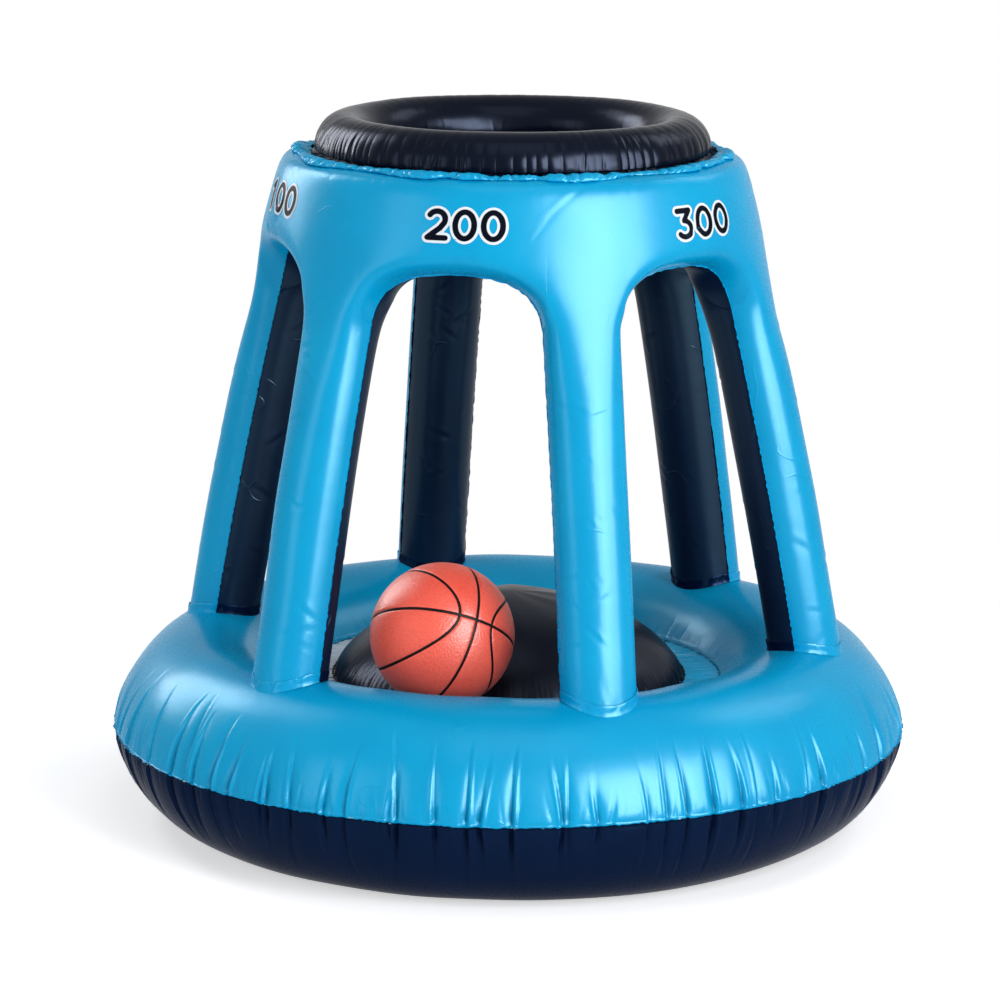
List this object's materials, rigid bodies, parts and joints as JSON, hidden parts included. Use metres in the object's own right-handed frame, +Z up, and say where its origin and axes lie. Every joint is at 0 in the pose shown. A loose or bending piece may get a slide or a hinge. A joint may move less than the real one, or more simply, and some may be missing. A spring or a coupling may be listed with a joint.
{
  "type": "inflatable pool basketball hoop",
  "caption": "Free-standing inflatable hoop: a ring float carries splayed tube legs under a crown and a soft round rim, with a pillow floor in its well and a small ball to throw.",
  "frame": {"origin": "on the ground under the middle of the ring float", "axes": "+Z up through the middle of the rim, -Y towards the front arch, which carries the number 200"},
  "size_m": [0.92, 0.92, 0.8095],
  "materials": {
    "light_blue_film": "satin, softly shiny welded film",
    "navy_film": "satin, softly shiny welded film",
    "black_film": "satin, softly shiny welded film",
    "dome_film": "satin, pleated round its weld",
    "floor_film": "satin, finely pleated",
    "hem_film": "satin, ruffled",
    "foot_film": "satin, welded",
    "valve_vinyl": "clear and soft",
    "ball_rubber": "pebbled, with moulded channels",
    "ball_plug_rubber": "matt"
  },
  "bodies": {
    "float_and_cage": {"base_ring_lower_skin": "navy_film", "base_ring_upper_skin": "light_blue_film", "base_valve_flange": "valve_vinyl", "cage_inner_skin": "navy_film", "cage_outer_skin": "light_blue_film", "cage_valve_flange": "valve_vinyl", "dome_upper_skin": "dome_film", "dome_valve_flange": "valve_vinyl", "leg_foot_1": "foot_film", "leg_foot_2": "foot_film", "leg_foot_3": "foot_film", "leg_foot_4": "foot_film", "leg_foot_5": "foot_film", "leg_foot_6": "foot_film", "rim_joining_hem": "hem_film", "rim_lower_skin": "black_film", "rim_upper_skin": "black_film", "rim_valve_flange": "valve_vinyl", "well_floor_sheet": "floor_film"},
    "base_stem": {"base_valve_stem": "valve_vinyl"},
    "base_plug": {"base_valve_plug": "valve_vinyl"},
    "dome_stem": {"dome_valve_stem": "valve_vinyl"},
    "dome_plug": {"dome_valve_plug": "valve_vinyl"},
    "cage_stem": {"cage_valve_stem": "valve_vinyl"},
    "cage_plug": {"cage_valve_plug": "valve_vinyl"},
    "rim_stem": {"rim_valve_stem": "valve_vinyl"},
    "rim_plug": {"rim_valve_plug": "valve_vinyl"},
    "ball": {"ball_skin": "ball_rubber", "ball_filling_plug": "ball_plug_rubber"}
  },
  "joints": [
    {"name": "base_stem_push", "type": "slide", "parent": "float_and_cage", "child": "base_stem", "axis": [-0.052, 0.6608, 0.7488], "range_m": [0, 0.009]},
    {"name": "base_plug_strap", "type": "hinge", "parent": "base_stem", "child": "base_plug", "pos_m": [-0.04467, 0.40821, 0.19173], "axis": [0.0587, -0.7464, 0.6628], "range_deg": [0, 150]},
    {"name": "dome_stem_push", "type": "slide", "parent": "float_and_cage", "child": "dome_stem", "axis": [-0.0382, 0.4362, 0.8991], "range_m": [0, 0.009]},
    {"name": "dome_plug_strap", "type": "hinge", "parent": "dome_stem", "child": "dome_plug", "pos_m": [-0.02396, 0.13049, 0.22444], "axis": [0.0784, -0.8956, 0.4378], "range_deg": [0, 150]},
    {"name": "cage_stem_push", "type": "slide", "parent": "float_and_cage", "child": "cage_stem", "axis": [0.1974, 0.8766, 0.4389], "range_m": [0, 0.009]},
    {"name": "cage_plug_strap", "type": "hinge", "parent": "cage_stem", "child": "cage_plug", "pos_m": [0.06175, 0.26329, 0.73846], "axis": [-0.9752, 0.2213, -0.0033], "range_deg": [0, 150]},
    {"name": "rim_stem_push", "type": "slide", "parent": "float_and_cage", "child": "rim_stem", "axis": [-0.7011, 0.2904, 0.6512], "range_m": [0, 0.009]},
    {"name": "rim_plug_strap", "type": "hinge", "parent": "rim_stem", "child": "rim_plug", "pos_m": [-0.202, 0.07014, 0.79866], "axis": [0.6016, -0.2492, 0.7589], "range_deg": [0, 150]},
    {"name": "ball_shot", "type": "slide", "parent": "float_and_cage", "child": "ball", "axis": [0.0301, 0.3443, 0.9384], "range_m": [0, 0.685]}
  ]
}
